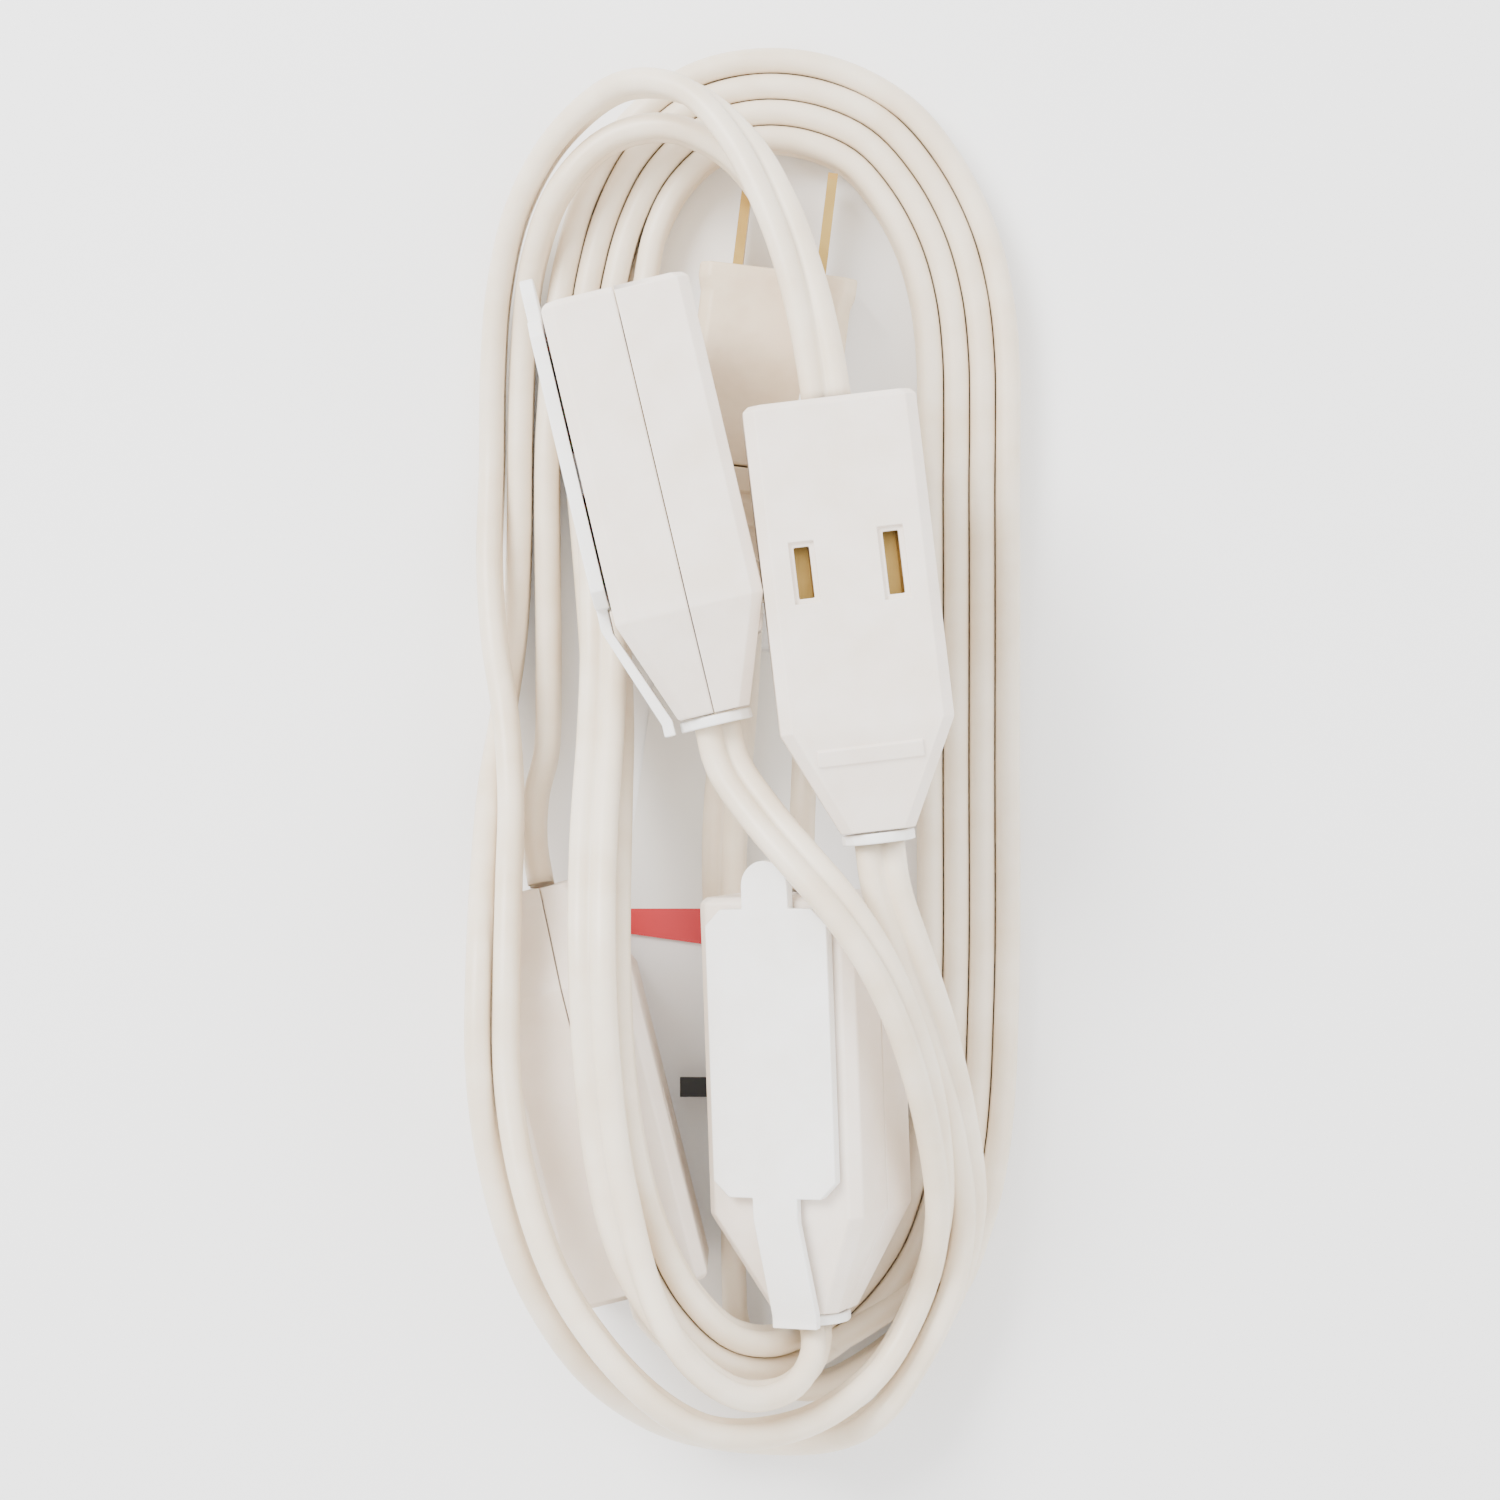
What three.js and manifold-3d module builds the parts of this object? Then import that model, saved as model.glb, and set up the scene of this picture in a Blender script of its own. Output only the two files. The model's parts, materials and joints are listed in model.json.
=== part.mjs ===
// Indoor extension cord: four in-line cube taps on one flat two-core cord, wound
// into a long hank that lies on its back, with the plug in the middle of it.
// Units are millimetres. +Z is up, the hank is long in Y, and the origin is on the
// floor under the middle of the hank.
import * as THREE from "three";
import { mergeVertices } from "three/addons/utils/BufferGeometryUtils.js";
import Module from "manifold-3d";

const wasm = await Module();
wasm.setup();

// Cord: a flat two-core ribbon.
const CORD_WIDTH = 7.2;
const CORD_THICK = 3.8;
const FACE_GAP = 0.3; // between a cord's end and the piece that it enters

// Cube tap: a box that narrows to the cord at one end.
const TAP_LENGTH = 61.6;
const TAP_TAPER = 15;
const TAP_WIDTH = 24.6;
const TAP_DEPTH = 21.4;
const TAPER_END_WIDTH = 10.6;
const TAPER_END_DEPTH = 10.4;
const TAP_EDGE = 1.6; // chamfer on the long edges
const TAP_WALL = 2;
const SHELL_SEAM = 0.14;
const GRIP_WIDTH = 15;
const GRIP_HEIGHT = 2.4;
const GRIP_PROUD = 0.4;
const GRIP_DOWN = 3.9; // below the taper's start

// Outlet: two upright slots, one taller than the other.
const SLOT_SPACING = 12.7;
const SLOT_THICK = 2.2;
const SLOT_HOT = 7.3;
const SLOT_NEUTRAL = 8.9;
const SLOT_Y = 6.6; // above the middle of the tap
const SLOT_LEAD_IN = 0.7; // wider all round at the surface
const SLOT_LEAD_DEPTH = 0.8;

// Contact rail: a channel that grips a blade from either face.
const LEAF_THICK = 0.5;
const LEAF_GAP = 2.2;
const LEAF_LENGTH = 14;
const WEB_THICK = 0.9;
const RAIL_TAIL = 18;
const RAIL_CLEARANCE = 0.6; // to the inside of a face

// Safety cover: a plate with two pins, a pull tab and a strap.
const COVER_WIDTH = 19.4;
const COVER_LENGTH = 42;
const COVER_THICK = 2;
const COVER_CORNER = 2.4;
const COVER_CLEARANCE = 0.4;
const COVER_TOP_INSET = 1.6; // plate's top edge below the flat end
const TAB_WIDTH = 7.4;
const TAB_REACH = 7;
const STRAP_WIDTH = 7.1;
const STRAP_THICK = 1.6;
const PIN_THICK = 1.4;
const PIN_HEIGHT = 6;
const PIN_LENGTH = 6;
const EYELET_WALL = 1.2;
const EYELET_THICK = 1.5;
const CORD_CLEARANCE = 0.5;

// Plug: a flat body with a bridge that holds two blades.
const PLUG_WIDTH = 24;
const PLUG_LENGTH = 30;
const PLUG_THICK = 11.4;
const PLUG_NECK = 14;
const PLUG_RIM = 2.2;
const PLUG_RIM_STEP = 0.6;
const BRIDGE_WIDTH = 18;
const BRIDGE_HEIGHT = 8.9;
const BRIDGE_DEPTH = 5;
const BRIDGE_CLEARANCE = 0.25;
const BLADE_CLEARANCE = 0.2;
const BLADE_THICK = 1.5;
const BLADE_WIDTH_HOT = 6.35;
const BLADE_WIDTH_NEUTRAL = 7.9;
const BLADE_LENGTH = 16;
const RELIEF_LENGTH = 20;
const RELIEF_END = 4.6;

// Hank: a flat band of strands on edge.
const STRANDS = 4;
const STRAND_PITCH = 3.95;
const BAND_TOP = CORD_WIDTH + 0.2;

// Paper label and wire tie.
const LABEL_WIDTH = 24;
const LABEL_LENGTH = 46;
const LABEL_THICK = 0.4;
const TIE_WIDTH = 3;
const TIE_THICK = 0.7;
const TIE_CLEARANCE = 0.5;
const TIE_TAIL = 5;

const cream = new THREE.MeshStandardMaterial({ color: 0xf3ece2, roughness: 0.5 });
const shade = new THREE.MeshStandardMaterial({ color: 0xe9dfd0, roughness: 0.5 });
const coverWhite = new THREE.MeshStandardMaterial({ color: 0xf7f5f2, roughness: 0.55 });
const cordVinyl = new THREE.MeshStandardMaterial({ color: 0xefe7da, roughness: 0.45 });
const brass = new THREE.MeshStandardMaterial({ color: 0xc8a55a, roughness: 0.35, metalness: 1 });
const paper = new THREE.MeshStandardMaterial({ color: 0xf4f3f0, roughness: 0.8 });
const black = new THREE.MeshStandardMaterial({ color: 0x1c1b1a, roughness: 0.6 });

// A closed three.js geometry as a manifold-3d solid.
function solid(geometry) {
  const plain = geometry.clone();
  plain.deleteAttribute("normal");
  plain.deleteAttribute("uv");
  const merged = mergeVertices(plain, 1e-4);
  return new wasm.Manifold(
    new wasm.Mesh({
      numProp: 3,
      vertProperties: merged.attributes.position.array,
      triVerts: new Uint32Array(merged.index.array),
    }),
  );
}

// A manifold-3d solid as a three.js geometry.
function geometryOf(body) {
  const mesh = body.getMesh();
  const geometry = new THREE.BufferGeometry();
  geometry.setAttribute("position", new THREE.BufferAttribute(mesh.vertProperties, 3));
  geometry.setIndex(new THREE.BufferAttribute(mesh.triVerts, 1));
  return geometry;
}

function box(sizeX, sizeY, sizeZ, x, y, z) {
  return solid(new THREE.BoxGeometry(sizeX, sizeY, sizeZ).translate(x, y, z));
}

// A cylinder along Y from y0 to y1.
function bore(radius, y0, y1) {
  const geometry = new THREE.CylinderGeometry(radius, radius, y1 - y0, 16);
  return solid(geometry.translate(0, (y0 + y1) / 2, 0));
}

function outline(points) {
  return new THREE.Shape(points.map(([x, y]) => new THREE.Vector2(x, y)));
}

// A rectangle with cut corners, as an outline round (0, 0).
function cutRectangle(halfX, halfY, cut) {
  return outline([
    [-halfX + cut, -halfY],
    [halfX - cut, -halfY],
    [halfX, -halfY + cut],
    [halfX, halfY - cut],
    [halfX - cut, halfY],
    [-halfX + cut, halfY],
    [-halfX, halfY - cut],
    [-halfX, -halfY + cut],
  ]);
}

// A lofted solid along Y through rounded rectangles [y, halfX, halfZ, cut].
function loft(rings) {
  const vertices = [];
  const triangles = [];
  for (const [y, halfX, halfZ, cut] of rings) {
    const points = cutRectangle(halfX, halfZ, cut).getPoints();
    for (const p of points.slice(0, 8)) vertices.push(p.x, y, p.y);
  }
  for (let ring = 0; ring < rings.length - 1; ring++) {
    for (let i = 0; i < 8; i++) {
      const a = ring * 8 + i;
      const b = ring * 8 + ((i + 1) % 8);
      triangles.push(a, a + 8, b, b, a + 8, b + 8);
    }
  }
  const last = (rings.length - 1) * 8;
  for (let i = 1; i < 7; i++) {
    triangles.push(0, i, i + 1);
    triangles.push(last, last + i + 1, last + i);
  }
  const geometry = new THREE.BufferGeometry();
  geometry.setAttribute("position", new THREE.Float32BufferAttribute(vertices, 3));
  geometry.setIndex(triangles);
  return solid(geometry);
}

// Places along the tap, from its middle: the flat end is up (+Y).
const FLAT_END = TAP_LENGTH / 2;
const TAPER_END = -TAP_LENGTH / 2;
const TAPER_START = TAPER_END + TAP_TAPER;
const CORD_HOLE = CORD_WIDTH / 2 + CORD_CLEARANCE;
const HINGE_Y = TAPER_END - FACE_GAP - EYELET_THICK / 2;
const HINGE_Z = -(CORD_HOLE + EYELET_WALL + STRAP_THICK);

function tapOutside() {
  const end = TAP_EDGE;
  return loft([
    [TAPER_END, TAPER_END_WIDTH / 2, TAPER_END_DEPTH / 2, TAP_EDGE],
    [TAPER_START, TAP_WIDTH / 2, TAP_DEPTH / 2, TAP_EDGE],
    [FLAT_END - end / 2, TAP_WIDTH / 2, TAP_DEPTH / 2, TAP_EDGE],
    [FLAT_END, TAP_WIDTH / 2 - end / 2, TAP_DEPTH / 2 - end / 2, TAP_EDGE],
  ]);
}

function tapInside() {
  const bottom = TAPER_START + 1;
  const top = FLAT_END - TAP_WALL;
  const width = TAP_WIDTH - 2 * TAP_WALL;
  const depth = TAP_DEPTH - 2 * TAP_WALL;
  return box(width, top - bottom, depth, 0, (top + bottom) / 2, 0)
    .add(bore(CORD_HOLE, TAPER_END - 1, bottom + 1))
    .add(bore(CORD_HOLE, top - 1, FLAT_END + 1));
}

// The two slots: name, place across the tap, height.
const SLOTS = [
  ["hot", -SLOT_SPACING / 2, SLOT_HOT],
  ["neutral", SLOT_SPACING / 2, SLOT_NEUTRAL],
];

function slots() {
  const wide = SLOT_THICK + 2 * SLOT_LEAD_IN;
  const leadZ = TAP_DEPTH / 2 + 1 - SLOT_LEAD_DEPTH;
  const cuts = SLOTS.flatMap(([, x, height]) => [
    box(SLOT_THICK, height, TAP_DEPTH + 2, x, SLOT_Y, 0),
    box(wide, height + 2 * SLOT_LEAD_IN, 2, x, SLOT_Y, leadZ),
    box(wide, height + 2 * SLOT_LEAD_IN, 2, x, SLOT_Y, -leadZ),
  ]);
  return cuts.reduce((joined, cut) => joined.add(cut));
}

// The grip bar moulded on the front slope of the taper.
function gripBar() {
  const fall = (TAP_DEPTH - TAPER_END_DEPTH) / 2;
  const slope = Math.atan2(fall, TAP_TAPER);
  const z = TAP_DEPTH / 2 - (GRIP_DOWN * fall) / TAP_TAPER;
  const bar = new THREE.BoxGeometry(GRIP_WIDTH, GRIP_HEIGHT, 2 * GRIP_PROUD);
  return solid(bar.rotateX(slope).translate(0, TAPER_START - GRIP_DOWN, z));
}

// side is 1 for the front shell and -1 for the back one.
function shell(side) {
  const whole = side > 0 ? tapOutside().add(gripBar()) : tapOutside();
  const half = TAP_DEPTH / 2 + 2;
  const cutter = box(
    TAP_WIDTH + 4,
    TAP_LENGTH + 4,
    half,
    0,
    0,
    side * (half / 2 + SHELL_SEAM / 2),
  );
  return geometryOf(whole.subtract(tapInside()).subtract(slots()).intersect(cutter));
}

function contactRail() {
  const reach = TAP_DEPTH - 2 * TAP_WALL - 2 * RAIL_CLEARANCE;
  const leafX = (LEAF_GAP + LEAF_THICK) / 2;
  const left = box(LEAF_THICK, LEAF_LENGTH, reach, -leafX, SLOT_Y, 0);
  const right = box(LEAF_THICK, LEAF_LENGTH, reach, leafX, SLOT_Y, 0);
  const bottom = SLOT_Y - LEAF_LENGTH / 2 - RAIL_TAIL / 2;
  const length = LEAF_LENGTH / 2 + SLOT_Y + LEAF_LENGTH / 2 - bottom;
  const web = box(LEAF_GAP + LEAF_THICK, length, WEB_THICK, 0, bottom + length / 2, 0);
  return geometryOf(left.add(right).add(web));
}

// The plate lies off the back face, its pins in the back outlet's slots.
function cover() {
  const top = FLAT_END - COVER_TOP_INSET;
  const bottom = top - COVER_LENGTH;
  const near = -TAP_DEPTH / 2 - COVER_CLEARANCE;
  const plateOutline = cutRectangle(COVER_WIDTH / 2, COVER_LENGTH / 2, COVER_CORNER);
  const plate = solid(
    new THREE.ExtrudeGeometry(plateOutline, { depth: COVER_THICK, bevelEnabled: false }).translate(
      0,
      (top + bottom) / 2,
      near - COVER_THICK,
    ),
  );
  const tab = new THREE.Shape();
  tab.moveTo(-TAB_WIDTH / 2, -1);
  tab.lineTo(TAB_WIDTH / 2, -1);
  tab.lineTo(TAB_WIDTH / 2, TAB_REACH - TAB_WIDTH / 2);
  tab.absarc(0, TAB_REACH - TAB_WIDTH / 2, TAB_WIDTH / 2, 0, Math.PI, false);
  tab.closePath();
  const tabSolid = solid(
    new THREE.ExtrudeGeometry(tab, {
      depth: COVER_THICK,
      bevelEnabled: false,
      curveSegments: 8,
    }).translate(0, top, near - COVER_THICK),
  );
  const outer = near - COVER_THICK;
  const inner = outer + STRAP_THICK;
  // The strap's side view in Z and Y, from the plate down to the hinge.
  const strapSide = outline([
    [-(bottom + 1), inner],
    [-(bottom + 1), outer],
    [-TAPER_START, outer],
    [-HINGE_Y - 1, HINGE_Z - STRAP_THICK / 2],
    [-HINGE_Y + 0.8, HINGE_Z - STRAP_THICK / 2],
    [-HINGE_Y + 0.8, HINGE_Z + STRAP_THICK / 2],
    [-HINGE_Y - 1.4, HINGE_Z + STRAP_THICK / 2],
    [-TAPER_START + 0.6, inner],
  ]);
  const strap = solid(
    new THREE.ExtrudeGeometry(strapSide, { depth: STRAP_WIDTH, bevelEnabled: false })
      .translate(0, 0, -STRAP_WIDTH / 2)
      .applyMatrix4(
        new THREE.Matrix4().set(0, 0, -1, 0, -1, 0, 0, 0, 0, 1, 0, 0, 0, 0, 0, 1),
      ),
  );
  const pinZ = near + PIN_LENGTH / 2 - 0.2;
  let body = plate.add(tabSolid).add(strap);
  for (const [, x] of SLOTS) {
    body = body.add(box(PIN_THICK, PIN_HEIGHT, PIN_LENGTH, x, SLOT_Y, pinZ));
  }
  return geometryOf(body);
}

// The ring at the strap's foot, which the cord passes through.
function eyelet() {
  const outer = CORD_HOLE + EYELET_WALL;
  const y0 = TAPER_END - FACE_GAP - EYELET_THICK;
  const y1 = TAPER_END - FACE_GAP;
  return geometryOf(bore(outer, y0, y1).subtract(bore(CORD_HOLE, y0 - 1, y1 + 1)));
}

function add(group, name, geometry, material) {
  const mesh = new THREE.Mesh(geometry, material);
  mesh.name = name;
  group.add(mesh);
  return mesh;
}

const extensionCord = new THREE.Group();

// Each tap: the middle of its body, its tilt seen from above, its roll about its
// own length, and whether it has a safety cover.
const TAPS = {
  a: { middle: [-12.2, 35.3, 32.4], tilt: 13.3, roll: 90, covered: true },
  b: { middle: [14.7, 19.1, 34.3], tilt: 6.8, roll: 0, covered: true },
  c: { middle: [8.6, -52, 19], tilt: 2, roll: 155, covered: true },
  d: { middle: [-23.9, -50.5, TAP_WIDTH / 2], tilt: 194, roll: 90, covered: false },
};

for (const [letter, place] of Object.entries(TAPS)) {
  const tap = new THREE.Group();
  const tilt = THREE.MathUtils.degToRad(place.tilt);
  const roll = THREE.MathUtils.degToRad(place.roll);
  tap.quaternion
    .setFromAxisAngle(new THREE.Vector3(0, 0, 1), tilt)
    .multiply(new THREE.Quaternion().setFromAxisAngle(new THREE.Vector3(0, 1, 0), roll));
  tap.position.set(...place.middle);
  add(tap, `tap_${letter}_front_shell`, shell(1), cream);
  add(tap, `tap_${letter}_back_shell`, shell(-1), cream);
  for (const [name, x] of SLOTS) {
    add(tap, `tap_${letter}_contact_${name}`, contactRail(), brass).position.x = x;
  }
  if (place.covered) {
    add(tap, `tap_${letter}_cover`, cover(), coverWhite);
    add(tap, `tap_${letter}_eyelet`, eyelet(), coverWhite);
  }
  extensionCord.add(tap);
}

// The plug in its own frame: its face is at y = 0 and its blades point to +Y.
function plugBody() {
  const halfZ = PLUG_THICK / 2;
  const inset = halfZ - PLUG_RIM_STEP;
  const whole = loft([
    [-PLUG_LENGTH, PLUG_NECK / 2, RELIEF_END, 1.6],
    [-PLUG_LENGTH + 8, PLUG_WIDTH / 2 - PLUG_RIM_STEP, inset, 1.6],
    [-PLUG_RIM - 2, PLUG_WIDTH / 2 - PLUG_RIM_STEP, inset, 1.6],
    [-PLUG_RIM, PLUG_WIDTH / 2, halfZ, 1.6],
    [0, PLUG_WIDTH / 2, halfZ, 1.6],
  ]);
  const pocket = box(
    BRIDGE_WIDTH + 2 * BRIDGE_CLEARANCE,
    BRIDGE_DEPTH + 1,
    BRIDGE_HEIGHT + 2 * BRIDGE_CLEARANCE,
    0,
    (1 - BRIDGE_DEPTH) / 2,
    0,
  );
  return geometryOf(whole.subtract(pocket));
}

// The two blades: name, place across the plug, width.
const BLADES = [
  ["hot", SLOT_SPACING / 2, BLADE_WIDTH_HOT],
  ["neutral", -SLOT_SPACING / 2, BLADE_WIDTH_NEUTRAL],
];
const BLADE_ROOT = BRIDGE_DEPTH - BRIDGE_CLEARANCE - 0.3;

function plugBridge() {
  const depth = BRIDGE_DEPTH - BRIDGE_CLEARANCE;
  let body = box(BRIDGE_WIDTH, depth, BRIDGE_HEIGHT, 0, -depth / 2, 0);
  for (const [, x, width] of BLADES) {
    const thick = BLADE_THICK + 2 * BLADE_CLEARANCE;
    body = body.subtract(box(thick, depth + 2, width + 2 * BLADE_CLEARANCE, x, -depth / 2, 0));
  }
  return geometryOf(body);
}

function plugBlade(width) {
  const length = BLADE_LENGTH + BLADE_ROOT;
  const side = cutRectangle(length / 2, width / 2, 1.2);
  // The outline's X becomes Y and its Y becomes Z, so the blade is thin in X.
  return new THREE.ExtrudeGeometry(side, { depth: BLADE_THICK, bevelEnabled: false })
    .translate(BLADE_LENGTH - length / 2, 0, -BLADE_THICK / 2)
    .applyMatrix4(new THREE.Matrix4().set(0, 0, 1, 0, 1, 0, 0, 0, 0, 1, 0, 0, 0, 0, 0, 1));
}

function strainRelief() {
  const rings = [];
  const steps = 4;
  for (let i = 0; i < steps; i++) {
    const y = -(i * RELIEF_LENGTH) / steps;
    const wide = THREE.MathUtils.lerp(PLUG_NECK / 2 - 0.6, RELIEF_END, i / steps);
    const deep = THREE.MathUtils.lerp(RELIEF_END, CORD_THICK / 2 + 0.9, i / steps);
    const next = y - RELIEF_LENGTH / steps;
    rings.unshift([y, wide, deep, 1.2]);
    rings.unshift([next + 1.5, wide - 0.1, deep - 0.1, 1.2]);
    rings.unshift([next + 1.2, wide - 0.9, deep - 0.7, 0.9]);
    rings.unshift([next + 0.3, wide - 0.9, deep - 0.7, 0.9]);
  }
  return geometryOf(loft(rings));
}

const PLUG = { face: [4.4, 72.6, PLUG_THICK / 2], tilt: -7 };
const plug = new THREE.Group();
plug.position.set(...PLUG.face);
plug.rotation.z = THREE.MathUtils.degToRad(PLUG.tilt);
add(plug, "plug_body", plugBody(), shade);
add(plug, "plug_bridge", plugBridge(), shade);
for (const [name, x, width] of BLADES) {
  add(plug, `plug_blade_${name}`, plugBlade(width), brass).position.x = x;
}
const relief = add(plug, "plug_strain_relief", strainRelief(), shade);
relief.position.y = -PLUG_LENGTH - FACE_GAP;
extensionCord.add(plug);

// A smooth line along which a swept section keeps its first axis as upright as it can.
class UprightCurve extends THREE.CatmullRomCurve3 {
  computeFrenetFrames(segments) {
    const tangents = [];
    const normals = [];
    const binormals = [];
    for (let i = 0; i <= segments; i++) {
      const tangent = this.getTangentAt(i / segments);
      const normal = new THREE.Vector3(0, 0, 1).addScaledVector(tangent, -tangent.z).normalize();
      tangents.push(tangent);
      normals.push(normal);
      binormals.push(new THREE.Vector3().crossVectors(tangent, normal));
    }
    return { tangents, normals, binormals };
  }
}

function route(points) {
  return new UprightCurve(
    points.map((p) => new THREE.Vector3(...p)),
    false,
    "centripetal",
  );
}

// The ribbon standing on its edge, swept along a route.
function ribbon(points, steps) {
  const section = cutRectangle(CORD_WIDTH / 2, CORD_THICK / 2, 1.1);
  return new THREE.ExtrudeGeometry(section, { extrudePath: route(points), steps });
}

// From tap A's narrow end down over tap C, round the bottom and up the left side,
// then over the top and down into tap B.
const CORD_AB = [
  [-4.9, 4.7, 32.4],
  [-3.2, -2, 33],
  [1.5, -9, 35.5],
  [7, -15.5, 38.6],
  [12.6, -22, 40.2],
  [18.5, -31, 39.4],
  [23.5, -43, 34.6],
  [27, -57, 26.5],
  [28, -70, 19],
  [25.5, -81.5, 15],
  [19.5, -92, 17],
  [10.5, -98, 22.4],
  [2, -99.6, 27],
  [-6, -98, 33.4],
  [-13, -93.4, 37.4],
  [-20.5, -85.8, 38.2],
  [-27.4, -75.5, 37.4],
  [-32.4, -62, 35],
  [-35, -48, 31.5],
  [-35.3, -34, 29.6],
  [-35.3, -20, 25.5],
  [-35.5, -7, 18.5],
  [-36.6, 5, 14.4],
  [-38.4, 16, 12.4],
  [-39.4, 28, 9.6],
  [-39.4, 43, 5],
  [-39.2, 58, 5],
  [-38.2, 70, 6],
  [-35, 82, 9.5],
  [-28.5, 92, 14.5],
  [-19, 98.2, 20],
  [-9.5, 96.6, 25.2],
  [-1.5, 88.5, 29.5],
  [4, 78, 32.3],
  [7.8, 66.5, 33.9],
  [10, 56.5, 34.3],
  [10.98, 50.2, 34.3],
];

// From tap B's narrow end round the outside of the bottom, up the left side inside
// the other cord, over the top and back under tap B into tap C.
const CORD_BC = [
  [18.6, -13.3, 34.3],
  [19.6, -20, 34.3],
  [23, -30, 32.2],
  [27.5, -43, 26.2],
  [31.2, -57, 19.5],
  [32.8, -70, 13.8],
  [30.3, -82, 12.4],
  [24.5, -92.8, 12.8],
  [19.4, -99.2, 14.8],
  [12.4, -103.9, 9.4],
  [3, -105.3, 5.6],
  [-8.5, -103.2, 8.5],
  [-18, -97.2, 17],
  [-26, -88, 25.5],
  [-32.8, -75.5, 29.5],
  [-37.2, -61, 30.6],
  [-39.2, -46, 30.6],
  [-39.4, -31, 27.5],
  [-39.4, -17, 19],
  [-39, -5, 10.5],
  [-37.6, 6, 5],
  [-36, 18, 4],
  [-35.3, 32, 4],
  [-35.1, 48, 4],
  [-34.6, 62, 4.2],
  [-32.9, 74, 7.4],
  [-28.4, 84.5, 12.2],
  [-21, 91.4, 14.2],
  [-12, 92.8, 16.4],
  [-3, 88.5, 17.2],
  [4, 79, 16.6],
  [8.6, 66, 15.4],
  [10.2, 50, 15.2],
  [9.8, 30, 15.2],
  [8.6, 8, 15.6],
  [7.8, -10, 17.8],
  [7.53, -20.9, 19],
];

// From tap C's narrow end, curled round and up over the hank's inner left side.
const CORD_CD_LEAD = [
  [9.74, -84.9, 19],
  [9.8, -86.6, 19.4],
  [9, -89.8, 22.8],
  [5.6, -92.8, 27.6],
  [0, -93.2, 32.2],
  [-5.2, -90.4, 35.6],
  [-10.5, -84.6, 38.2],
  [-15.8, -75.5, 37.8],
  [-19.6, -62, 38],
  [-21.8, -45, 38],
  [-22.6, -28, 37.2],
  [-22.6, -12, 31],
  [-22, 2, 24],
  [-21.8, 14, 18.4],
  [-22.2, 28, 14.2],
  [-23, 44, 12.1],
  [-23.6, 58, 11.9],
];

// From tap D's narrow end to the place where it joins the hank.
const CORD_DP_START = [
  [-31.42, -20.3, 12.3],
  [-32.5, -14, 11.2],
  [-32.4, -7, 8.4],
  [-31, 0, 5.6],
];

// Out of the hank, up the middle and into the plug.
const CORD_DP_PLUG = [
  [-2.4, -82, 4.9],
  [-2.6, -66, 4.9],
  [-3, -48, 4.9],
  [-3.8, -30, 4.9],
  [-3.8, -12, 4.9],
  [-2.4, 6, 5.2],
  [-1.5, 22.2, 5.7],
];

add(extensionCord, "cord_a_to_b", ribbon(CORD_AB, 32), cordVinyl);
add(extensionCord, "cord_b_to_c", ribbon(CORD_BC, 34), cordVinyl);
add(extensionCord, "cord_c_lead", ribbon(CORD_CD_LEAD, 16), cordVinyl);
add(extensionCord, "cord_d_lead", ribbon(CORD_DP_START, 3), cordVinyl);
add(extensionCord, "cord_plug_lead", ribbon(CORD_DP_PLUG, 7), cordVinyl);

// The hank's middle line, round from the right side over the top. It rises over
// tap D at the lower left.
const BAND_LINE = [
  [33.4, 0, 4],
  [33.4, 40, 4],
  [33.2, 62, 4],
  [31, 75, 4],
  [26, 86, 4],
  [18.5, 94.6, 4],
  [10, 98.4, 4],
  [1, 99.2, 4],
  [-8, 96.6, 4],
  [-16.8, 88, 4],
  [-22.3, 73, 4],
  [-24.8, 50, 4],
  [-25.2, 28, 5.6],
  [-25.2, 8, 12],
  [-25.2, -10, 21.5],
  [-25.2, -27, 28.4],
  [-24.4, -46, 29.4],
  [-21.8, -63, 29.4],
  [-17.2, -76, 29.6],
  [-12, -84.4, 29.2],
  [-5, -91, 24.5],
  [3.5, -93.8, 16.5],
  [12, -92.4, 8.8],
  [20.5, -86.4, 4.4],
  [27.4, -76.5, 4],
  [31.6, -62, 4],
  [33.2, -40, 4],
  [33.4, -0.6, 4],
];
const bandSection = cutRectangle(BAND_TOP / 2, (STRANDS * STRAND_PITCH) / 2, 1.6);
add(
  extensionCord,
  "hank_band",
  new THREE.ExtrudeGeometry(bandSection, { extrudePath: route(BAND_LINE), steps: 56 }),
  cordVinyl,
);

// The tie is a flat band round the plug's lead, with its twisted tail to one side.
const TIE_PLACE = [-2.95, -50, 4.9];

function wireTie() {
  const halfDeep = CORD_THICK / 2 + TIE_CLEARANCE;
  const halfTall = CORD_WIDTH / 2 + TIE_CLEARANCE;
  const ring = cutRectangle(halfDeep + TIE_THICK, halfTall + TIE_THICK, 1.8);
  ring.holes.push(cutRectangle(halfDeep, halfTall, 1.3));
  const band = new THREE.ExtrudeGeometry(ring, { depth: TIE_WIDTH, bevelEnabled: false });
  const tail = new THREE.BoxGeometry(TIE_TAIL, TIE_THICK, TIE_WIDTH);
  tail.translate(-halfDeep - TIE_TAIL / 2 - TIE_THICK / 2, 0, TIE_WIDTH / 2);
  return geometryOf(solid(band).add(solid(tail)));
}
const tie = add(extensionCord, "wire_tie", wireTie(), black);
tie.position.set(...TIE_PLACE);
tie.rotation.x = Math.PI / 2;

const label = add(
  extensionCord,
  "paper_label",
  new THREE.BoxGeometry(LABEL_WIDTH, LABEL_LENGTH, LABEL_THICK),
  paper,
);
label.position.set(-5.2, -7, LABEL_THICK / 2 + 0.1);
label.rotation.z = THREE.MathUtils.degToRad(-8);

export default extensionCord;
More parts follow.
